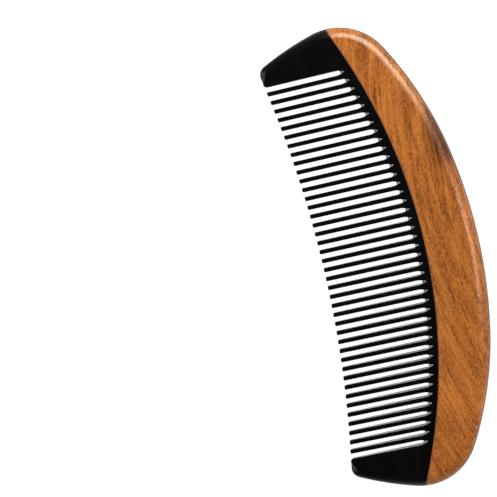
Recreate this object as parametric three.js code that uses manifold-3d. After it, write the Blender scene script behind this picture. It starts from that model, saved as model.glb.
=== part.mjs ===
// A pocket beard comb: a horn plate sawn into teeth, let into a curved wooden back with a glued
// tongue-and-groove joint. Millimetres, +Z up. The comb lies flat on Z = 0, X runs along the row of
// teeth and +Y points from the tooth tips to the back. The origin is the middle of its outline.

import * as THREE from 'three';
import { mergeVertices } from 'three/addons/utils/BufferGeometryUtils.js';
import Module from 'manifold-3d';

const wasm = await Module();
wasm.setup();

// ---------------------------------------------------------------- driving dimensions

const THICKNESS = 5.5; // of the wood and of the horn beside it

// Each half of the outline is a chain of arcs, smoothly joined, from the middle of the back to the
// outer corner of an end guard. An arc's end is the angle at which the next one takes over. They
// make the comb 127.4 mm long and 48.3 mm wide.
const BACK_RADIUS = 135;
const BACK_END = THREE.MathUtils.degToRad(79.5);
const FLANK_RADIUS = 98;
const FLANK_END = THREE.MathUtils.degToRad(60.1);
const SHOULDER_RADIUS = 16.2;
const SHOULDER_END = THREE.MathUtils.degToRad(-14.8);
const SIDE_RADIUS = 84;
const CORNER_RADIUS = 2.6;

const EDGE_ROUND_IN = 2.0; // rounded rim, measured inwards on the face
const EDGE_ROUND_DOWN = 2.2; // rounded rim, measured down from each face

// Three arcs cross the comb. Each has its depth below the top of the back and its radius, and the
// hand-fitted joint and the saw stops sit a little off the middle.
const JOINT_ARC = arcBelowBack(14.2, 150.5, -1.5); // where horn meets wood
const ROOT_ARC = arcBelowBack(15.55, 144, -0.5); // where the saw cuts stop
const TIP_ARC = arcBelowBack(43.15, 298, 0); // line of the tooth tips

const TOOTH_COUNT = 41;
const TOOTH_PITCH = 2.51;
const TOOTH_ROW_X = 0.12; // middle of the row of teeth
const CUT_WIDTH = 1.3; // saw kerf between two teeth
const CUT_POINT = 2.4; // length of a cut's pointed run-out on the upper face
const CUT_POINT_UNDER = 0.35; // and on the under face, where the saw leaves it nearly square
const TIP_THICKNESS = 2; // the plate is ground thinner towards the tips
const TAPER_LENGTH = 25; // how far back from the tips the grinding reaches

const TONGUE_DEPTH = 5; // how far the horn tongue goes into the wood
const TONGUE_THICKNESS = 2;
const TONGUE_HALF_LENGTH = 52; // the groove stops short of the comb's ends
const JOINT_GAP = 0.3; // clearance that the glue fills

const ARC_TOLERANCE = 0.025; // largest distance between an arc and its facets
const RIM_STEPS = 3; // facets across each rounded rim
const REACH = 100; // cutting shapes extend this far past the comb
const PAST_FACE = 0.5; // saw cuts extend this far past each face

// ---------------------------------------------------------------- arcs and outlines

function arcBelowBack(depth, radius, x) {
  return { x, y: -depth - radius, radius };
}

// Points along a circle from one angle to another, with as few facets as the tolerance allows.
function arcPoints(circle, from, to) {
  const widestStep = 2 * Math.acos(1 - ARC_TOLERANCE / circle.radius);
  const steps = Math.ceil(Math.abs(to - from) / widestStep);
  const points = [];
  for (let i = 0; i <= steps; i += 1) {
    const angle = THREE.MathUtils.lerp(from, to, i / steps);
    points.push(pointOn(circle, angle));
  }
  return points;
}

function pointOn(circle, angle) {
  const x = circle.x + circle.radius * Math.cos(angle);
  const y = circle.y + circle.radius * Math.sin(angle);
  return new THREE.Vector2(x, y);
}

function angleTo(circle, other) {
  return Math.atan2(other.y - circle.y, other.x - circle.x);
}

// The circle's height at a given X, on its upper half.
function heightAt(circle, x) {
  return circle.y + Math.sqrt(circle.radius ** 2 - (x - circle.x) ** 2);
}

// Centre of a small circle that touches the inside of one circle and the outside of another. Of
// the two answers it gives the one on the right.
function cornerBetween(inside, outside, radius) {
  const first = inside.radius - radius;
  const second = outside.radius + radius;
  const dx = outside.x - inside.x;
  const dy = outside.y - inside.y;
  const distance = Math.hypot(dx, dy);
  const along = (first ** 2 - second ** 2 + distance ** 2) / (2 * distance);
  const across = Math.sqrt(first ** 2 - along ** 2);
  const x = inside.x + (along * dx - across * dy) / distance;
  const y = inside.y + (along * dy + across * dx) / distance;
  return { x, y, radius };
}

// The circle that carries on smoothly from another one at a given angle.
function carryOn(circle, angle, radius) {
  const between = { ...circle, radius: circle.radius - radius };
  const { x, y } = pointOn(between, angle);
  return { x, y, radius };
}

const backCircle = { x: 0, y: -BACK_RADIUS, radius: BACK_RADIUS };

const flank = carryOn(backCircle, BACK_END, FLANK_RADIUS);
const shoulder = carryOn(flank, FLANK_END, SHOULDER_RADIUS);
const side = carryOn(shoulder, SHOULDER_END, SIDE_RADIUS);
const corner = cornerBetween(side, TIP_ARC, CORNER_RADIUS);

// Outline of the whole comb, anticlockwise from the middle of the tooth tips.
function combOutline() {
  const cornerFromTips = angleTo(TIP_ARC, corner);
  const cornerFromSide = angleTo(side, corner);
  const right = [
    ...arcPoints(TIP_ARC, Math.PI / 2, cornerFromTips),
    ...arcPoints(corner, cornerFromTips - Math.PI, cornerFromSide),
    ...arcPoints(side, cornerFromSide, SHOULDER_END),
    ...arcPoints(shoulder, SHOULDER_END, FLANK_END),
    ...arcPoints(flank, FLANK_END, BACK_END),
    ...arcPoints(backCircle, BACK_END, Math.PI / 2),
  ];
  const left = right.map((point) => new THREE.Vector2(-point.x, point.y)).reverse();
  return withoutRepeats([...right, ...left]);
}

function withoutRepeats(points) {
  const last = points.length - 1;
  return points.filter((point, i) => point.distanceTo(points[i === 0 ? last : i - 1]) > 1e-6);
}

// A band that follows the joint, from one radius to another and as far as halfLength to each side.
function jointBand(innerRadius, outerRadius, halfLength) {
  const halfAngle = Math.asin(halfLength / JOINT_ARC.radius);
  const inner = { ...JOINT_ARC, radius: innerRadius };
  const outer = { ...JOINT_ARC, radius: outerRadius };
  const left = Math.PI / 2 + halfAngle;
  const right = Math.PI / 2 - halfAngle;
  return [...arcPoints(outer, right, left), ...arcPoints(inner, left, right)];
}

// ---------------------------------------------------------------- solids

function extrude(points, depth, options = {}) {
  const shape = new THREE.Shape(points);
  return new THREE.ExtrudeGeometry(shape, { depth, bevelEnabled: false, ...options });
}

function toSolid(geometry) {
  const bare = geometry.clone();
  bare.deleteAttribute('normal');
  bare.deleteAttribute('uv');
  const merged = mergeVertices(bare, 1e-5);
  const vertProperties = new Float32Array(merged.attributes.position.array);
  const triVerts = new Uint32Array(merged.index.array);
  return new wasm.Manifold(new wasm.Mesh({ numProp: 3, vertProperties, triVerts }));
}

function toGeometry(solid) {
  const mesh = solid.getMesh();
  const geometry = new THREE.BufferGeometry();
  geometry.setAttribute('position', new THREE.BufferAttribute(mesh.vertProperties, 3));
  geometry.setIndex(new THREE.BufferAttribute(mesh.triVerts, 1));
  return geometry;
}

// The comb before sawing: its outline at full thickness, with the rim rounded over on both faces.
function blank() {
  const geometry = extrude(combOutline(), THICKNESS - 2 * EDGE_ROUND_DOWN, {
    bevelEnabled: true,
    bevelThickness: EDGE_ROUND_DOWN,
    bevelSize: EDGE_ROUND_IN,
    bevelOffset: -EDGE_ROUND_IN,
    bevelSegments: RIM_STEPS,
  });
  return toSolid(geometry.translate(0, 0, EDGE_ROUND_DOWN));
}

// Everything on the horn side of the joint, short of it by half the glue gap.
function hornSide() {
  const edge = { ...JOINT_ARC, radius: JOINT_ARC.radius - JOINT_GAP / 2 };
  const arc = arcPoints(edge, Math.PI * 0.3, Math.PI * 0.7);
  const below = [new THREE.Vector2(-REACH, -REACH), new THREE.Vector2(REACH, -REACH)];
  return toSolid(extrude([...arc, ...below], REACH).translate(0, 0, -REACH / 2));
}

// Everything on the wood side of the joint.
function woodSide() {
  const edge = { ...JOINT_ARC, radius: JOINT_ARC.radius + JOINT_GAP / 2 };
  const arc = arcPoints(edge, Math.PI * 0.7, Math.PI * 0.3);
  const above = [new THREE.Vector2(REACH, REACH), new THREE.Vector2(-REACH, REACH)];
  return toSolid(extrude([...arc, ...above], REACH).translate(0, 0, -REACH / 2));
}

// A slab in the middle of the thickness that bridges the joint: the tongue, or its groove when
// it is given the clearance.
function joinery(clearance) {
  const thickness = TONGUE_THICKNESS + 2 * clearance;
  const start = JOINT_ARC.radius - 2;
  const end = JOINT_ARC.radius + TONGUE_DEPTH + clearance;
  const band = jointBand(start, end, TONGUE_HALF_LENGTH + clearance);
  return toSolid(extrude(band, thickness).translate(0, 0, (THICKNESS - thickness) / 2));
}

// A ring around the centre of the tip arc whose section is the plate's ground wedge: as thick as
// a tooth tip on the tip line, and thicker than the plate behind the ground part.
function groundWedge() {
  const slope = (THICKNESS - TIP_THICKNESS) / 2 / TAPER_LENGTH;
  const before = 6;
  const behind = TAPER_LENGTH + 4;
  const nearHalf = TIP_THICKNESS / 2 - before * slope;
  const farHalf = TIP_THICKNESS / 2 + behind * slope;
  const section = [
    new THREE.Vector2(TIP_ARC.radius - before, -nearHalf),
    new THREE.Vector2(TIP_ARC.radius + behind, -farHalf),
    new THREE.Vector2(TIP_ARC.radius + REACH, -farHalf),
    new THREE.Vector2(TIP_ARC.radius + REACH, farHalf),
    new THREE.Vector2(TIP_ARC.radius + behind, farHalf),
    new THREE.Vector2(TIP_ARC.radius - before, nearHalf),
  ];
  section.push(section[0].clone());
  const ring = new THREE.LatheGeometry(section, 256);
  ring.rotateX(Math.PI / 2);
  return toSolid(ring.translate(TIP_ARC.x, TIP_ARC.y, THICKNESS / 2));
}

// The saw cut at a given X. It ends in a point on the root arc, shorter towards the under face.
function sawCut(x) {
  const start = heightAt(ROOT_ARC, x) - CUT_POINT;
  const half = CUT_WIDTH / 2;
  const cutOutline = [
    new THREE.Vector2(x - half, start - REACH / 2),
    new THREE.Vector2(x + half, start - REACH / 2),
    new THREE.Vector2(x + half, start),
    new THREE.Vector2(x + half * 0.6, start + CUT_POINT * 0.5),
    new THREE.Vector2(x, start + CUT_POINT),
    new THREE.Vector2(x - half * 0.6, start + CUT_POINT * 0.5),
    new THREE.Vector2(x - half, start),
  ];
  const geometry = extrude(cutOutline, THICKNESS + 2 * PAST_FACE);
  geometry.translate(0, 0, -PAST_FACE);

  const position = geometry.attributes.position;
  for (let i = 0; i < position.count; i += 1) {
    const height = position.getZ(i) / THICKNESS;
    const pointLength = THREE.MathUtils.lerp(CUT_POINT_UNDER, CUT_POINT, height);
    const past = Math.max(0, position.getY(i) - start);
    position.setY(i, position.getY(i) - past + (past * pointLength) / CUT_POINT);
  }
  return toSolid(geometry);
}

// ---------------------------------------------------------------- the two pieces

function hornToothPlate() {
  let plate = blank().intersect(hornSide()).intersect(groundWedge()).add(joinery(0));
  for (let i = 0; i <= TOOTH_COUNT; i += 1) {
    plate = plate.subtract(sawCut(TOOTH_ROW_X + (i - TOOTH_COUNT / 2) * TOOTH_PITCH));
  }
  return plate;
}

function woodenBack() {
  return blank().intersect(woodSide()).subtract(joinery(JOINT_GAP));
}

const HORN = new THREE.MeshStandardMaterial({ color: 0x0e0e11, roughness: 0.25, metalness: 0 });
const WOOD = new THREE.MeshStandardMaterial({ color: 0xb56c33, roughness: 0.45, metalness: 0 });

function addPiece(group, name, solid, material) {
  const piece = new THREE.Mesh(toGeometry(solid), material);
  piece.name = name;
  group.add(piece);
}

const comb = new THREE.Group();
addPiece(comb, 'horn_tooth_plate', hornToothPlate(), HORN);
addPiece(comb, 'wooden_back', woodenBack(), WOOD);

// The outlines were drawn from the top of the back, so half the overall width brings the middle
// of the comb to the origin.
const width = corner.radius - corner.y;
comb.position.y = width / 2;
comb.updateMatrixWorld(true);

export default comb;
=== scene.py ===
"""A pocket beard comb of polished dark horn and oiled wood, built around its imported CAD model.

The comb lies flat on Z = 0, X runs along the row of teeth and +Y points from the tooth tips to the
back. Three pieces are made here: the sawn horn plate, the wooden back, and the film of glue that
shows as a pale line between them. Sizes are in millimetres until a mesh is made.
"""

import math
from collections import namedtuple

import bmesh
import bpy
from mathutils import Matrix, Vector


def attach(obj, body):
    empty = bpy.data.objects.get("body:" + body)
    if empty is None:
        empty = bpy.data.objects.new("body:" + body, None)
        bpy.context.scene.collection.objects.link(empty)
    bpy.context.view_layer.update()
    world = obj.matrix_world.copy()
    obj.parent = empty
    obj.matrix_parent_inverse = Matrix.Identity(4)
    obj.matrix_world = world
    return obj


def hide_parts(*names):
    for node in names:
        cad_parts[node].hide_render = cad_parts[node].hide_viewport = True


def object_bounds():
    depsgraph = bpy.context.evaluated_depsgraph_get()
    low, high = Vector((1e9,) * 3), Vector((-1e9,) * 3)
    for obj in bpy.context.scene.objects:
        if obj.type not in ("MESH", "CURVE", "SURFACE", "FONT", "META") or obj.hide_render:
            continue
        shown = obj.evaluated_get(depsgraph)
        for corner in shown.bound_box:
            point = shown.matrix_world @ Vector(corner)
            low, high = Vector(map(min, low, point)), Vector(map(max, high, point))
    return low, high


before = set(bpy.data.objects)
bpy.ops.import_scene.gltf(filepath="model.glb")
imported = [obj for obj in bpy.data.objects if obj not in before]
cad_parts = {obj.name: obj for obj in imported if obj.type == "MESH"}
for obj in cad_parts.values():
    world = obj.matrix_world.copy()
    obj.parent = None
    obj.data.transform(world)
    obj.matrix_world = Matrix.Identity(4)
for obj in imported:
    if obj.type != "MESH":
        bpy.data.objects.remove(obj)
cad_low, cad_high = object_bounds()

MM = 0.001  # one millimetre in Blender's metres

# ---------------------------------------------------------------- dimensions, from the CAD's box

TOP = cad_high.y / MM  # Y of the middle of the back
THICKNESS = cad_high.z / MM
MIDDLE = THICKNESS / 2

# Each half of the outline is a chain of arcs, smoothly joined, from the middle of the back to the
# outer corner of a guard. An arc's end is the angle at which the next one takes over.
BACK_RADIUS, BACK_END = 135, math.radians(79.5)
FLANK_RADIUS, FLANK_END = 98, math.radians(60.1)
SHOULDER_RADIUS, SHOULDER_END = 16.2, math.radians(-14.8)
SIDE_RADIUS = 84
CORNER_RADIUS = 2.6

# Three arcs cross the comb, each given by its depth below the top of the back and its radius.
JOINT_DEPTH, JOINT_RADIUS, JOINT_X = 14.2, 150.5, -1.5
ROOT_DEPTH, ROOT_RADIUS, ROOT_X = 15.55, 144, -0.5
TIP_DEPTH, TIP_RADIUS = 43.15, 298

TOOTH_COUNT = 41
TOOTH_PITCH = 2.51
TOOTH_ROW_X = 0.12  # middle of the row of teeth
CUT_HALF_WIDTH = 0.65
CUT_POINT_ABOVE = 2.4  # length of a cut's pointed run-out on the upper face
POINT_CURVE = 1.35  # 1 would give a point with straight sides
CUT_POINT_UNDER = 0.35  # and on the under face
TIP_CORNER = 0.3  # rounding of a tooth tip, seen from above
GUARD_INNER_CORNER = 0.9
TIP_HALF_THICKNESS = 1.0
TAPER_LENGTH = 25  # the plate is ground thinner over this length behind the tips
EASE = 0.15  # share of that length over which the wedge runs into the full thickness

TONGUE_DEPTH = 5
TONGUE_HALF_THICKNESS = 1
TONGUE_HALF_LENGTH = 51.25
TONGUE_REACH = TONGUE_HALF_LENGTH + 0.1  # a row of vertices this close still belongs to it
GLUE = 0.3  # width of the glue film
GLUE_RECESS = 0.03  # the film has shrunk this far below the faces

RIM = 2.8  # width of the shaped rim round the outside of the comb
GUARD_RIM = 1.7  # the rim narrows to this at the tips of the guards
TOOTH_ROUND = 0.13  # rounding along the edges of a tooth
CUT_END_ROUND = 0.4 * TOOTH_ROUND  # and at the very end of a cut
DEEPEST_ROUND = 0.8  # a rim may take away this share of half the thickness
SHARP_ANGLE = math.radians(32)  # edges sharper than this keep a crease


# ---------------------------------------------------------------- arcs

Circle = namedtuple("Circle", "x y radius")


def below_back(depth, radius, x=0):
    return Circle(x, TOP - depth - radius, radius)


def point_on(circle, angle, outwards=0.0):
    reach = circle.radius + outwards
    return circle.x + reach * math.cos(angle), circle.y + reach * math.sin(angle)


def height_at(circle, x):
    """The circle's Y at a given X, on its upper half."""
    return circle.y + math.sqrt(circle.radius**2 - (x - circle.x) ** 2)


def angle_to(circle, other):
    return math.atan2(other.y - circle.y, other.x - circle.x)


def mix(a, b, share):
    return a + (b - a) * share


def eased(share):
    """The same share, leaving 0 and reaching 1 without a kink."""
    return share * share * (3 - 2 * share)


def meeting(first, first_radius, second, second_radius, side):
    """Where two circles cross. Side is 1 for the crossing to the right of the line between them."""
    dx, dy = second.x - first.x, second.y - first.y
    distance = math.hypot(dx, dy)
    along = (first_radius**2 - second_radius**2 + distance**2) / (2 * distance)
    across = math.sqrt(first_radius**2 - along**2) * side
    return (
        first.x + (along * dx - across * dy) / distance,
        first.y + (along * dy + across * dx) / distance,
    )


def carry_on(circle, angle, radius):
    """The circle that carries on smoothly from another one at a given angle."""
    return Circle(*point_on(circle, angle, -radius), radius)


def mirrored(circle):
    return Circle(-circle.x, circle.y, circle.radius)


def along_arcs(arcs, inset, share):
    """The place a share of the way along a chain of arcs, each a circle and its two angles."""
    lengths = [abs(end - start) * (circle.radius - inset) for circle, start, end in arcs]
    travelled = share * sum(lengths)
    passed = 0
    while passed < len(arcs) - 1 and travelled > lengths[passed]:
        travelled -= lengths[passed]
        passed += 1
    circle, start, end = arcs[passed]
    return point_on(circle, mix(start, end, travelled / lengths[passed]), -inset)


back = below_back(0, BACK_RADIUS)
joint = below_back(JOINT_DEPTH, JOINT_RADIUS, JOINT_X)
roots = below_back(ROOT_DEPTH, ROOT_RADIUS, ROOT_X)
tips = below_back(TIP_DEPTH, TIP_RADIUS)

flank = carry_on(back, BACK_END, FLANK_RADIUS)
shoulder = carry_on(flank, FLANK_END, SHOULDER_RADIUS)
side = carry_on(shoulder, SHOULDER_END, SIDE_RADIUS)
corner_x, corner_y = meeting(
    side, SIDE_RADIUS - CORNER_RADIUS, tips, TIP_RADIUS + CORNER_RADIUS, 1
)
corner = Circle(corner_x, corner_y, CORNER_RADIUS)


def half_thickness(x, y):
    """Half the horn's thickness: an even wedge from the tips, eased into the full thickness."""
    behind = math.hypot(x - tips.x, y - tips.y) - tips.radius
    share = min(max(behind / TAPER_LENGTH, 0), 1 + EASE)
    if share > 1 - EASE:
        share -= (share - 1 + EASE) ** 2 / (4 * EASE)
    return mix(TIP_HALF_THICKNESS, MIDDLE, share)


# ---------------------------------------------------------------- the shape of an edge

# One level of an edge: how far in from the outline and how high, both as shares. Height is the
# sum of a share of the upright wall and a share of the rim.
Level = namedtuple("Level", "inset wall rim")

FACET_INSET, FACET_DROP = 0.68, 0.13  # a soft facet lies between the round rim and the flat face
FACET_END = Level(0.96, 1, 0.992)  # where it fades into the flat face
ROUND_STEPS = 7
POLISHED_FROM = 0.3  # share of the upper rim's height from which a sawn edge is polished again


def edge_levels():
    """From the under face, round the edge, to the upper face."""
    start = math.asin(1 - FACET_DROP)
    upper = []
    for step in range(ROUND_STEPS + 1):
        angle = start * step / ROUND_STEPS
        inset = FACET_INSET * (1 - math.cos(angle)) / (1 - math.cos(start))
        upper.append(Level(inset, 1, math.sin(angle)))
    upper += [FACET_END, Level(1, 1, 1)]
    under = [Level(level.inset, -1, -level.rim) for level in reversed(upper)]
    wall = [Level(0, share, 0) for share in (-0.5, 0, 0.5)]
    return under + wall + upper


LEVELS = edge_levels()


def height_share(level):
    """The level's height from 0, on the under face, to 1, on the upper face."""
    return 0.5 + 0.5 * (level.wall + level.rim) / 2


class Surface:
    """Vertices and faces of one piece, with how freshly sawn each vertex is."""

    def __init__(self):
        self.places = []
        self.sawn = []
        self.faces = []

    def add(self, x, y, z, sawn=0.0):
        self.places.append(Vector((x, y, z)))
        self.sawn.append(sawn)
        return len(self.places) - 1

    def face(self, *corners):
        distinct = list(dict.fromkeys(corners))
        if len(distinct) > 2:
            self.faces.append(distinct)

    def strip(self, first, second):
        """Quads between two rows of vertices of the same length."""
        for i in range(len(first) - 1):
            self.face(first[i], first[i + 1], second[i + 1], second[i])

    def wall(self, columns):
        """Quads round an edge, from one column to the next."""
        for first, second in zip(columns, columns[1:]):
            self.strip(first, second)

    def column(self, place, rim, sawn=0.0, thickness=half_thickness):
        """One upright line of vertices round an edge. Place gives X and Y for an inset and height."""
        made = []
        for level in LEVELS:
            x, y = place(level.inset * rim, height_share(level))
            half = thickness(x, y)
            drop = min(rim, DEEPEST_ROUND * half)
            z = MIDDLE + level.wall * (half - drop) + level.rim * drop
            made.append(self.add(x, y, z, sawn if level.rim < POLISHED_FROM else 0))
        return made

    def object(self, name, material):
        mesh = bpy.data.meshes.new(name)
        mesh.from_pydata([place * MM for place in self.places], [], self.faces)
        sawn = mesh.attributes.new("sawn", "FLOAT", "POINT")
        sawn.data.foreach_set("value", self.sawn)
        whole = bmesh.new()
        whole.from_mesh(mesh)
        bmesh.ops.recalc_face_normals(whole, faces=whole.faces)
        whole.to_mesh(mesh)
        whole.free()
        mesh.shade_smooth()
        mesh.set_sharp_from_angle(angle=SHARP_ANGLE)
        mesh.materials.append(material)
        made = bpy.data.objects.new(name, mesh)
        bpy.context.scene.collection.objects.link(made)
        return made


# ---------------------------------------------------------------- the joint between horn and wood


def outer_end(radius, hand):
    """Places on the rim where a face of the joint meets the comb's outline, left or right."""

    def place(inset, _height):
        end_arc = Circle(hand * shoulder.x, shoulder.y, SHOULDER_RADIUS)
        return meeting(end_arc, SHOULDER_RADIUS - inset, joint, radius, hand)

    return place


def joint_point(radius, x):
    return x, joint.y + math.sqrt(radius**2 - (x - joint.x) ** 2)


def joint_face(surface, tops, unders, ends, radius, depth, half):
    """Closes a piece along the joint, with the tongue or groove between the two faces.

    Tops and unders are the rows of vertices along the joint on the two faces, left to right, and
    ends are the two columns where the joint reaches the rim.
    """
    ledges = []
    for sign in (1, -1):
        ledge = []
        for top in tops:
            place = surface.places[top]
            ledge.append(surface.add(place.x, place.y, MIDDLE + sign * half))
        ledges.append(ledge)
    high, low = ledges
    # The rim's profile closes each end of the joint, level by level from the faces inwards.
    for column, end in zip(ends, (0, -1)):
        count = len(column)
        surface.face(column[0], column[1], column[-2], column[-1], high[end], low[end])
        for i in range(1, count // 2):
            surface.face(column[i], column[i + 1], column[count - 2 - i], column[count - 1 - i])
    surface.strip(tops, high)
    surface.strip(low, unders)

    inside = [i for i, v in enumerate(high) if abs(surface.places[v].x) < TONGUE_REACH]
    first, last = inside[0], inside[-1]
    surface.strip(high[: first + 1], low[: first + 1])
    surface.strip(high[last:], low[last:])
    deep = []
    for ledge in ledges:
        row = []
        for i in inside:
            place = surface.places[ledge[i]]
            outward = Vector((place.x - joint.x, place.y - joint.y, 0)).normalized()
            row.append(surface.add(*(place + outward * depth)))
        deep.append(row)
    surface.strip(high[first : last + 1], deep[0])
    surface.strip(deep[0], deep[1])
    surface.strip(deep[1], low[first : last + 1])
    surface.face(high[first], deep[0][0], deep[1][0], low[first])
    surface.face(high[last], deep[0][-1], deep[1][-1], low[last])


# ---------------------------------------------------------------- horn plate

HORN_EDGE = JOINT_RADIUS - GLUE / 2
WALL_ROWS = 8
POINT_ROWS = 5
LAND_ROWS = 3
CORNER_ROWS = 4
GUARD_EDGE_ROWS = 5
GUARD_SPLIT = 8
WALL_SAWN_AND_LIGHT = 0.5  # the walls take half the sawn finish of the cut ends, so the ends show paler: painted light


def cut_x(cut):
    return TOOTH_ROW_X + (cut - TOOTH_COUNT / 2) * TOOTH_PITCH


def cut_start(x):
    """Y at which a cut starts to narrow into its point."""
    return height_at(roots, x) - CUT_POINT_ABOVE


def point_length(height):
    return mix(CUT_POINT_UNDER, CUT_POINT_ABOVE, height)


def cut_wall(cut, hand, low_y):
    """Places up one wall of a saw cut. Hand is -1 for the wall on its left and 1 on its right."""
    x = cut_x(cut)
    start = cut_start(x)

    def straight(y):
        return lambda inset, _height: (x + hand * (CUT_HALF_WIDTH + inset), y)

    def narrowing(share):
        def place(inset, height):
            length = point_length(height)
            half = CUT_HALF_WIDTH * (1 - share**POINT_CURVE)
            slope = POINT_CURVE * CUT_HALF_WIDTH * share ** (POINT_CURVE - 1)
            normal = Vector((hand * length, slope)).normalized()
            return x + hand * half + normal.x * inset, start + share * length + normal.y * inset

        return place

    rows = [straight(mix(low_y, start, i / WALL_ROWS)) for i in range(1, WALL_ROWS + 1)]
    rows += [narrowing(i / POINT_ROWS) for i in range(1, POINT_ROWS)]
    return rows


def cut_end(cut):
    x = cut_x(cut)
    return lambda inset, height: (x, cut_start(x) + point_length(height) + inset)


def tip_corner(wall_x, hand, radius):
    """Places round the corner between the tip line and an upright wall that faces left or right."""
    x = wall_x - hand * radius
    reach = TIP_RADIUS + radius
    centre = Circle(x, tips.y + math.sqrt(reach**2 - (x - tips.x) ** 2), radius)
    start = angle_to(centre, tips)
    end = 0 if hand > 0 else -math.pi

    def around(angle):
        return lambda inset, _height: point_on(centre, angle, -inset)

    return [around(mix(start, end, i / CORNER_ROWS)) for i in range(CORNER_ROWS + 1)], centre


def tip_line(x):
    angle = math.acos((x - tips.x) / TIP_RADIUS)
    return lambda inset, _height: point_on(tips, angle, inset)


def side_path(hand, share):
    """Places up the comb's side, from the outer corner to the joint."""

    def place(inset, _height):
        end_x, end_y = outer_end(HORN_EDGE, hand)(inset, 0)
        end = math.atan2(end_y - shoulder.y, hand * end_x - shoulder.x)
        arcs = [(side, angle_to(side, corner), SHOULDER_END), (shoulder, SHOULDER_END, end)]
        x, y = along_arcs(arcs, inset, share)
        return hand * x, y

    return place


def add_face_rows(surface, left, right, split, thickness=half_thickness):
    """Covers a face between two rows of its edge, with split quads across. Returns the last row."""
    upper = surface.places[left[-1]].z > MIDDLE
    previous = None
    for a, b in zip(left, right):
        row = [a]
        for i in range(1, split if a != b else 0):
            x, y, _z = surface.places[a].lerp(surface.places[b], i / split)
            half = thickness(x, y)
            row.append(surface.add(x, y, MIDDLE + half if upper else MIDDLE - half))
        row += [b] * (split + 1 - len(row))
        if previous:
            surface.strip(previous, row)
        previous = row
    return previous


def land_line(surface, x, end_column):
    """Two rows of vertices, above and under, that lead from a cut's end to the joint."""
    lines = []
    for end in (end_column[-1], end_column[0]):
        start = surface.places[end]
        finish = joint_point(HORN_EDGE, x)[1]
        line = [end]
        for i in range(1, LAND_ROWS + 1):
            line.append(surface.add(x, mix(start.y, finish, i / LAND_ROWS), start.z))
        lines.append(line)
    return lines


def inner_side(surface, cut_ends, cut, hand, radius):
    """Columns from a tip's corner up one wall of a cut, to the cut's end."""
    around, centre = tip_corner(cut_x(cut) + hand * CUT_HALF_WIDTH, -hand, radius)
    columns = [surface.column(place, TOOTH_ROUND) for place in around]
    for i, place in enumerate(cut_wall(cut, hand, centre.y)):
        narrowed = max(0, i + 1 - WALL_ROWS) / POINT_ROWS
        rim = mix(TOOTH_ROUND, CUT_END_ROUND, narrowed)
        # Towards the cut's end the sawn share grows to 1, so the point shows paler: painted light.
        columns.append(surface.column(place, rim, mix(WALL_SAWN_AND_LIGHT, 1, narrowed)))
    return columns + [cut_ends[cut]]


def add_tooth(surface, cut_ends, lines, tooth):
    """One tooth between two cuts, with the land behind it."""
    middle_x = cut_x(tooth) + TOOTH_PITCH / 2
    middle = [surface.column(tip_line(middle_x), TOOTH_ROUND)]
    left = middle + inner_side(surface, cut_ends, tooth, 1, TIP_CORNER)
    right = middle + inner_side(surface, cut_ends, tooth + 1, -1, TIP_CORNER)
    surface.wall(left)
    surface.wall(right)
    for level in (-1, 0):
        add_face_rows(surface, [c[level] for c in left], [c[level] for c in right], 1)
    for face in (0, 1):
        surface.strip(lines[tooth][face], lines[tooth + 1][face])


def guard_tip(surface, start_x, end_x, end_rim):
    """Columns along a guard's tip, between two places, while the rim changes its width."""
    columns = []
    for i in range(1, GUARD_EDGE_ROWS):
        share = i / GUARD_EDGE_ROWS
        place = tip_line(mix(start_x, end_x, share))
        columns.append(surface.column(place, mix(GUARD_RIM, end_rim, eased(share))))
    return columns


def outer_corner(surface, hand):
    """Columns round the outer corner of a guard."""

    def around(angle):
        def place(inset, _height):
            x, y = point_on(corner, angle, -inset)
            return hand * x, y

        return place

    start = angle_to(corner, tips)
    end = angle_to(side, corner)
    angles = [mix(start, end, i / CORNER_ROWS) for i in range(CORNER_ROWS + 1)]
    return [surface.column(around(angle), GUARD_RIM) for angle in angles]


def add_guard(surface, cut_ends, lines, hand):
    """The guard at one end, left or right, with the land behind it.

    Returns its rows of vertices along the joint, above and under, and its column at the joint's
    outer end. The rows run inwards.
    """
    cut = 0 if hand < 0 else TOOTH_COUNT
    wall_x = cut_x(cut) + hand * CUT_HALF_WIDTH
    inner_x = tip_corner(wall_x, -hand, GUARD_INNER_CORNER)[1].x
    outer_x = hand * corner.x
    middle_x = (inner_x + outer_x) / 2
    middle = [surface.column(tip_line(middle_x), GUARD_RIM)]
    inner = middle + guard_tip(surface, middle_x, inner_x, TOOTH_ROUND)
    inner += inner_side(surface, cut_ends, cut, hand, GUARD_INNER_CORNER)
    outer = middle + guard_tip(surface, middle_x, outer_x, GUARD_RIM) + outer_corner(surface, hand)

    # Beyond its corner, the outer edge gets a column for each vertex that the inner edge has there.
    inner_top = [c[-1] for c in inner] + lines[cut][0][1:]
    heights = [surface.places[v].y for v in inner_top[len(outer) - 1 :]]
    for height in heights[1:]:
        share = (height - heights[0]) / (heights[-1] - heights[0])
        outer.append(surface.column(side_path(hand, share), mix(GUARD_RIM, RIM, share)))
    surface.wall(inner)
    surface.wall(outer)

    joint_rows = []
    for level, line in zip((-1, 0), lines[cut]):
        inner_row = [c[level] for c in inner] + line[1:]
        outer_row = [c[level] for c in outer]
        row = add_face_rows(surface, outer_row, inner_row, GUARD_SPLIT)
        for v in row[1:-1]:
            place = surface.places[v]
            place.y = joint_point(HORN_EDGE, place.x)[1]
        joint_rows.append(row)
    return joint_rows, outer[-1]


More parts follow.
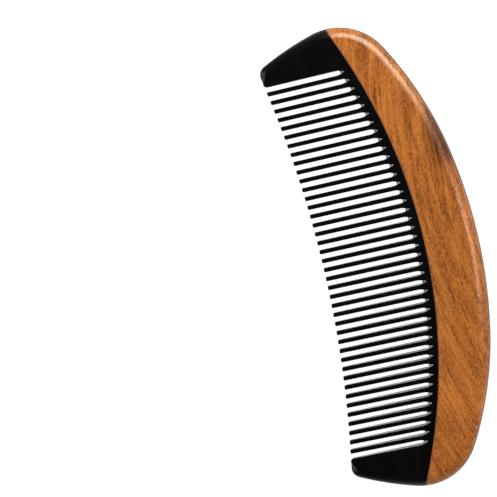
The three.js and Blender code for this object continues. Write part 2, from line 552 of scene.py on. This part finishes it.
def horn_plate(material):
    surface = Surface()
    cuts = range(TOOTH_COUNT + 1)
    # The ends of the cuts take the full sawn share and the palest dust colour: painted light.
    cut_ends = [surface.column(cut_end(cut), CUT_END_ROUND, 1) for cut in cuts]
    lines = [land_line(surface, cut_x(cut), cut_ends[cut]) for cut in cuts]
    for tooth in range(TOOTH_COUNT):
        add_tooth(surface, cut_ends, lines, tooth)
    left_rows, left_end = add_guard(surface, cut_ends, lines, -1)
    right_rows, right_end = add_guard(surface, cut_ends, lines, 1)

    joint_rows = []
    for face in (0, 1):
        between = [line[face][-1] for line in lines[1:-1]]
        joint_rows.append(left_rows[face] + between + right_rows[face][::-1])
    ends = [left_end, right_end]
    joint_face(surface, *joint_rows, ends, HORN_EDGE, TONGUE_DEPTH, TONGUE_HALF_THICKNESS)
    return surface.object("horn_plate", material)


# ---------------------------------------------------------------- wooden back

WOOD_EDGE = JOINT_RADIUS + GLUE / 2
BACK_COLUMNS = 120
WOOD_SPLIT = 6


def full_thickness(_x, _y):
    return MIDDLE


def back_path(share):
    """Places round the outside of the wood, from its left end to its right end."""

    def place(inset, _height):
        ends = []
        for hand in (-1, 1):
            x, y = outer_end(WOOD_EDGE, hand)(inset, 0)
            ends.append(math.atan2(y - shoulder.y, hand * x - shoulder.x))
        arcs = [
            (mirrored(shoulder), math.pi - ends[0], math.pi - FLANK_END),
            (mirrored(flank), math.pi - FLANK_END, math.pi - BACK_END),
            (back, math.pi - BACK_END, BACK_END),
            (flank, BACK_END, FLANK_END),
            (shoulder, FLANK_END, ends[1]),
        ]
        return along_arcs(arcs, inset, share)

    return place


def joint_row(surface, radius, first, last, count):
    """Vertices along the joint between two that are there already."""
    start, finish = surface.places[first], surface.places[last]
    row = [first]
    for i in range(1, count):
        x, y = joint_point(radius, mix(start.x, finish.x, i / count))
        row.append(surface.add(x, y, start.z))
    return row + [last]


def wood_back(material):
    surface = Surface()
    columns = []
    for i in range(BACK_COLUMNS + 1):
        place = back_path(i / BACK_COLUMNS)
        # The whole outline is marked sawn, so its wall gets the darker edge colour: painted shade
        # together with the oil-soaked end grain.
        columns.append(surface.column(place, RIM, 1, full_thickness))
    surface.wall(columns)
    joint_rows = []
    for level in (-1, 0):
        rim = [column[level] for column in columns]
        row = joint_row(surface, WOOD_EDGE, rim[0], rim[-1], BACK_COLUMNS)
        add_face_rows(surface, rim, row, WOOD_SPLIT, full_thickness)
        joint_rows.append(row)
    ends = [columns[0], columns[-1]]
    depth = TONGUE_DEPTH + GLUE
    half = TONGUE_HALF_THICKNESS + GLUE
    joint_face(surface, *joint_rows, ends, WOOD_EDGE, depth, half)
    return surface.object("wood_back", material)


# ---------------------------------------------------------------- glue film

GLUE_STEPS = 100


def glue_thickness(_x, _y):
    return MIDDLE - GLUE_RECESS


def glue_line(material):
    surface = Surface()
    walls = []
    for radius, spare in ((HORN_EDGE, 0), (WOOD_EDGE, GLUE)):
        ends = [surface.column(outer_end(radius, hand), RIM, 0, glue_thickness) for hand in (-1, 1)]
        rows = [joint_row(surface, radius, ends[0][k], ends[1][k], GLUE_STEPS) for k in (-1, 0)]
        depth, half = TONGUE_DEPTH + spare, TONGUE_HALF_THICKNESS + spare
        joint_face(surface, *rows, ends, radius, depth, half)
        walls.append((ends, rows))
    (horn_ends, horn_rows), (wood_ends, wood_rows) = walls
    for first, second in zip(horn_rows + horn_ends, wood_rows + wood_ends):
        surface.strip(first, second)
    return surface.object("glue_line", material)


# ---------------------------------------------------------------- materials


class Nodes:
    """Short calls for the node tree of one material."""

    def __init__(self, name):
        self.material = bpy.data.materials.new(name)
        self.material.use_nodes = True
        self.tree = self.material.node_tree
        self.shader = self.tree.nodes["Principled BSDF"]
        self.position = self.add("ShaderNodeTexCoord").outputs["Object"]

    def add(self, kind, inputs=None, **settings):
        node = self.tree.nodes.new(kind)
        for name, value in settings.items():
            setattr(node, name, value)
        for socket, value in (inputs or {}).items():
            self.set(node.inputs[socket], value)
        return node

    def set(self, socket, value):
        if isinstance(value, bpy.types.NodeSocket):
            self.tree.links.new(value, socket)
        else:
            socket.default_value = value

    def bend(self, amount):
        """Curves the positions along X, so that a straight grain becomes a bowed one."""
        parts = self.add("ShaderNodeSeparateXYZ", {0: self.position}).outputs
        lift = self.math("MULTIPLY", self.math("MULTIPLY", parts["X"], parts["X"]), amount / MM)
        level = self.math("SUBTRACT", parts["Y"], lift)
        joined = {"X": parts["X"], "Y": level, "Z": parts["Z"]}
        self.position = self.add("ShaderNodeCombineXYZ", joined).outputs[0]

    def along(self, turn, stretch):
        """Positions in millimetres, turned about Z, each axis divided by a length."""
        scale = [1 / (MM * length) for length in stretch]
        turned = self.add("ShaderNodeMapping", {"Vector": self.position, "Rotation": (0, 0, -turn)})
        return self.add("ShaderNodeMapping", {"Vector": turned.outputs[0], "Scale": scale}).outputs[0]

    def noise(self, vector, detail=2.0, roughness=0.5, distortion=0.0):
        made = self.add(
            "ShaderNodeTexNoise",
            {"Vector": vector, "Scale": 1, "Detail": detail, "Roughness": roughness,
             "Distortion": distortion},
        )
        return made.outputs["Fac"]

    def range(self, value, low, high, to_low=0.0, to_high=1.0):
        made = self.add(
            "ShaderNodeMapRange",
            {"Value": value, "From Min": low, "From Max": high, "To Min": to_low, "To Max": to_high},
        )
        return made.outputs[0]

    def blend(self, share, first, second, how="MIX"):
        made = self.add("ShaderNodeMix", data_type="RGBA", blend_type=how)
        self.set(made.inputs["Factor"], share)
        self.set(made.inputs["A"], first)
        self.set(made.inputs["B"], second)
        return made.outputs["Result"]

    def math(self, how, first, second):
        return self.add("ShaderNodeMath", {0: first, 1: second}, operation=how).outputs[0]

    def bump(self, height, depth, normal=None):
        inputs = {"Height": height, "Distance": depth * MM, "Strength": 1.0}
        if normal:
            inputs["Normal"] = normal
        return self.add("ShaderNodeBump", inputs).outputs[0]

    def finish(self, **inputs):
        for name, value in inputs.items():
            self.set(self.shader.inputs[name.replace("_", " ")], value)
        return self.material


def colour(red, green, blue):
    """An sRGB colour from 0 to 255 as the linear RGBA that a shader takes."""
    linear = [((v / 255 + 0.055) / 1.055) ** 2.4 if v > 10 else v / 3295 for v in (red, green, blue)]
    return (*linear, 1)


def grey(level):
    return (level, level, level, 1)


GRAIN_TURN = math.radians(4)
GRAIN_BEND = 0.0024  # the grain's slope grows by twice this for every millimetre along X
HEARTWOOD_AND_REFLECTION = (-29, 22.5, 0)  # middle of a darker patch near the rim: partly the wood's own darker heartwood, partly a painted dark reflection on the rim
HEARTWOOD_AND_REFLECTION_REACH = (12, 7, 12)
OIL_SHEEN = (1, 0.85, 0.65, 1)
EDGE_OIL_AND_SHADE = 0.8  # the sawn edge is darkened by this share: partly the darker oil-soaked end grain, partly painted shade round the rim

WOOD_PALE, WOOD_DARK = colour(172, 97, 42), colour(106, 49, 18)
DRIFT_BROWN = colour(98, 42, 14)
BAND_GOLD = colour(200, 123, 52)
STREAK_BROWN = colour(82, 36, 12)
FIBRE_GOLD = colour(212, 132, 62)
# The darker patch: the wood's own heartwood, and a painted dark reflection on the rim.
HEART_AND_REFLECTION_BROWN = colour(52, 18, 5)
PORE_BROWN = colour(56, 22, 8)
# The darker edge: painted shade round the rim, with the oil-soaked end grain.
EDGE_OIL_AND_SHADE_BROWN = colour(48, 20, 8)

HORN_BLACK, HORN_CLOUD = colour(3, 3, 3), colour(6, 6, 8)
HORN_LAYER = colour(11, 10, 9)
DUST_AND_LIGHT_DARK, DUST_AND_LIGHT_PALE = colour(168, 168, 170), colour(228, 228, 230)  # left on the sawn walls, and made paler as painted light in the deep, narrow cuts

GLUE_PALE, GLUE_DARK = colour(140, 86, 44), colour(104, 60, 30)
GLUE_GRAIN = colour(70, 38, 18)


def wood_material():
    n = Nodes("oiled_wood")
    sawn = n.add("ShaderNodeAttribute", attribute_name="sawn").outputs["Fac"]
    # A darker patch by the rim: partly the wood's own heartwood, partly a painted dark reflection on
    # the rim.
    heart_and_reflection_patch = n.add(
        "ShaderNodeMapping",
        {
            "Vector": n.position,
            "Location": [-place / reach for place, reach in zip(HEARTWOOD_AND_REFLECTION, HEARTWOOD_AND_REFLECTION_REACH)],
            "Scale": [1 / (MM * reach) for reach in HEARTWOOD_AND_REFLECTION_REACH],
        },
    ).outputs[0]
    distance = n.add("ShaderNodeVectorMath", {0: heart_and_reflection_patch}, operation="LENGTH").outputs["Value"]

    # From here on the positions follow the bowed grain.
    n.bend(GRAIN_BEND)
    drift = n.noise(n.along(GRAIN_TURN, (30, 9, 9)), 2)
    figure = n.noise(n.along(GRAIN_TURN, (17, 5, 5)), 3, 0.6, 0.9)
    bands = n.noise(n.along(GRAIN_TURN, (22, 1.4, 1.4)), 3, 0.6, 0.6)
    streaks = n.noise(n.along(GRAIN_TURN, (8, 0.6, 0.6)), 2, 0.6, 0.4)
    fibres = n.noise(n.along(GRAIN_TURN, (1.1, 0.26, 0.26)), 3, 0.75)
    pores = n.noise(n.along(GRAIN_TURN + 0.06, (0.9, 0.22, 0.22)), 1, 0.5)
    ragged_heart_and_reflection = n.math("ADD", distance, n.range(bands, 0.3, 0.7, -0.35, 0.35))

    # Each layer is laid over the ones before it, mostly from the broadest to the finest.
    base = n.blend(n.range(figure, 0.38, 0.62), WOOD_PALE, WOOD_DARK)
    base = n.blend(n.range(drift, 0.48, 0.64, 0, 0.55), base, DRIFT_BROWN)
    base = n.blend(n.range(bands, 0.4, 0.6, 0.5, 0), base, BAND_GOLD)
    base = n.blend(n.range(streaks, 0.48, 0.64, 0, 0.6), base, STREAK_BROWN)
    base = n.blend(n.range(fibres, 0.4, 0.56, 0.5, 0), base, FIBRE_GOLD)
    # Painted dark reflection on the rim, with the wood's own darker heartwood inside it.
    base = n.blend(n.range(ragged_heart_and_reflection, 0.5, 1.2, 0.9, 0), base, HEART_AND_REFLECTION_BROWN)
    base = n.blend(n.range(pores, 0.56, 0.68, 0, 0.5), base, PORE_BROWN)
    # Painted shade round the outline, together with the darker oil-soaked end grain.
    base = n.blend(n.math("MULTIPLY", sawn, EDGE_OIL_AND_SHADE), base, EDGE_OIL_AND_SHADE_BROWN)

    rough = n.range(fibres, 0.3, 0.7, 0.2, 0.3)
    relief = n.math("SUBTRACT", fibres, n.range(pores, 0.58, 0.72))
    return n.finish(
        Base_Color=base,
        Roughness=rough,
        Normal=n.bump(relief, 0.012),
        IOR=1.5,
        Specular_Tint=OIL_SHEEN,
        Coat_Weight=0.1,
        Coat_Roughness=0.12,
        Coat_IOR=1.5,
    )


def horn_material():
    n = Nodes("polished_horn")
    sawn = n.add("ShaderNodeAttribute", attribute_name="sawn").outputs["Fac"]
    cloud = n.noise(n.along(0.1, (14, 5, 5)), 3, 0.6, 0.4)
    layers = n.noise(n.along(1.57, (16, 0.6, 0.6)), 3, 0.6)
    scratches = n.noise(n.along(1.5, (5, 0.12, 0.12)), 2, 0.7)
    saw_marks = n.noise(n.along(0.4, (0.16, 1.8, 0.5)), 3, 0.7)

    polished = n.blend(n.range(cloud, 0.4, 0.7), HORN_BLACK, HORN_CLOUD)
    polished = n.blend(n.range(layers, 0.55, 0.75, 0, 0.4), polished, HORN_LAYER)
    # The sawn horn's own matte grey dust, made paler as painted light in the deep cuts.
    dust_and_light = n.blend(n.range(saw_marks, 0.35, 0.65), DUST_AND_LIGHT_DARK, DUST_AND_LIGHT_PALE)
    base = n.blend(sawn, polished, dust_and_light)

    gloss = n.range(scratches, 0.4, 0.75, 0.2, 0.3)
    rough = n.math("ADD", gloss, n.math("MULTIPLY", sawn, 0.4))
    marks = n.math("MULTIPLY", saw_marks, sawn)
    relief = n.bump(marks, 0.03, n.bump(scratches, 0.002))
    return n.finish(
        Base_Color=base,
        Roughness=rough,
        Normal=relief,
        IOR=1.54,
        Specular_IOR_Level=0.35,
    )


def glue_material():
    n = Nodes("dried_glue")
    cloud = n.noise(n.along(0, (2.5, 2.5, 2.5)), 3, 0.6)
    grains = n.noise(n.along(0, (0.3, 0.3, 0.3)), 2, 0.6)
    base = n.blend(n.range(cloud, 0.35, 0.65), GLUE_PALE, GLUE_DARK)
    base = n.blend(n.range(grains, 0.5, 0.75, 0, 0.4), base, GLUE_GRAIN)
    return n.finish(Base_Color=base, Roughness=0.5, Normal=n.bump(grains, 0.01))


# ---------------------------------------------------------------- the comb


def build_comb():
    pieces = (
        (horn_plate(horn_material()), "horn_tooth_plate", "horn"),
        (wood_back(wood_material()), "wooden_back", "wood"),
        (glue_line(glue_material()), None, "wood"),
    )
    for piece, node, slot in pieces:
        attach(piece, "root")
        if node:
            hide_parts(node)


# ---------------------------------------------------------------- camera, floor and light

VIEW_DISTANCE = 650  # millimetres, like AIM
VIEW_TILT = math.radians(11)  # towards the wooden back, away from straight above
VIEW_LEAN = math.radians(-2)  # along the row of teeth
VIEW_ROLL = math.radians(13.37)
AIM = Vector((-10.35, -37.67, THICKNESS))  # the middle of the view, beside the tooth tips
SENSOR = 36
LENS = 172


def add_camera():
    toward = Vector((math.tan(VIEW_LEAN), math.tan(VIEW_TILT), 1)).normalized()
    up = Vector((-math.cos(VIEW_ROLL), math.sin(VIEW_ROLL), 0))
    up = (up - toward * up.dot(toward)).normalized()
    right = up.cross(toward)
    data = bpy.data.cameras.new("camera")
    data.type = "PERSP"
    data.sensor_width = SENSOR
    data.lens = LENS
    data.clip_start = 0.01
    data.clip_end = 20
    camera = bpy.data.objects.new("camera", data)
    bpy.context.scene.collection.objects.link(camera)
    turn = Matrix((right, up, toward)).transposed().to_4x4()
    camera.matrix_world = Matrix.Translation((AIM + toward * VIEW_DISTANCE) * MM) @ turn
    bpy.context.scene.camera = camera


FLOOR_REACH = 6  # metres each way


def add_floor():
    mesh = bpy.data.meshes.new("floor")
    corners = [(x * FLOOR_REACH, y * FLOOR_REACH, 0) for x, y in ((-1, -1), (1, -1), (1, 1), (-1, 1))]
    mesh.from_pydata(corners, [], [(0, 1, 2, 3)])
    n = Nodes("lit_white_table")
    mesh.materials.append(
        n.finish(
            Base_Color=grey(0.4),
            Roughness=0.9,
            Specular_IOR_Level=0.1,
            Emission_Color=grey(1),
            Emission_Strength=0.93,
        )
    )
    floor = bpy.data.objects.new("floor", mesh)
    bpy.context.scene.collection.objects.link(floor)


def add_light(name, azimuth, zenith, distance, size, power):
    """A soft rectangular light that faces the comb.

    Azimuth is anticlockwise from +X and zenith down from straight above, both in degrees. Distance
    and size are in metres.
    """
    a, z = math.radians(azimuth), math.radians(zenith)
    away = Vector((math.cos(a) * math.sin(z), math.sin(a) * math.sin(z), math.cos(z)))
    data = bpy.data.lights.new(name, "AREA")
    data.shape = "RECTANGLE"
    data.size, data.size_y = size
    data.energy = power
    light = bpy.data.objects.new(name, data)
    light.location = away * distance
    light.rotation_euler = away.to_track_quat("Z", "Y").to_euler()
    bpy.context.scene.collection.objects.link(light)


def add_world():
    """A studio dome: pale round the horizon and dark overhead."""
    world = bpy.data.worlds.new("studio")
    world.use_nodes = True
    tree = world.node_tree
    direction = tree.nodes.new("ShaderNodeTexCoord").outputs["Generated"]
    parts = tree.nodes.new("ShaderNodeSeparateXYZ")
    ramp = tree.nodes.new("ShaderNodeValToRGB")
    tree.links.new(direction, parts.inputs[0])
    tree.links.new(parts.outputs["Z"], ramp.inputs[0])
    tree.links.new(ramp.outputs[0], tree.nodes["Background"].inputs["Color"])
    low, high = ramp.color_ramp.elements
    low.position, low.color = 0.25, grey(0.75)
    high.position, high.color = 0.8, grey(0.02)
    middle = ramp.color_ramp.elements.new(0.55)
    middle.color = grey(0.15)
    bpy.context.scene.world = world


add_camera()
add_floor()
add_light("key", azimuth=150, zenith=41, distance=0.6, size=(0.5, 0.18), power=4.2)
add_light("strip", azimuth=84, zenith=34, distance=0.7, size=(0.16, 0.16), power=0.7)
add_light("fill", azimuth=265, zenith=52, distance=0.7, size=(0.5, 0.4), power=0.9)
add_world()
bpy.context.scene.view_settings.view_transform = "Standard"

build_comb()
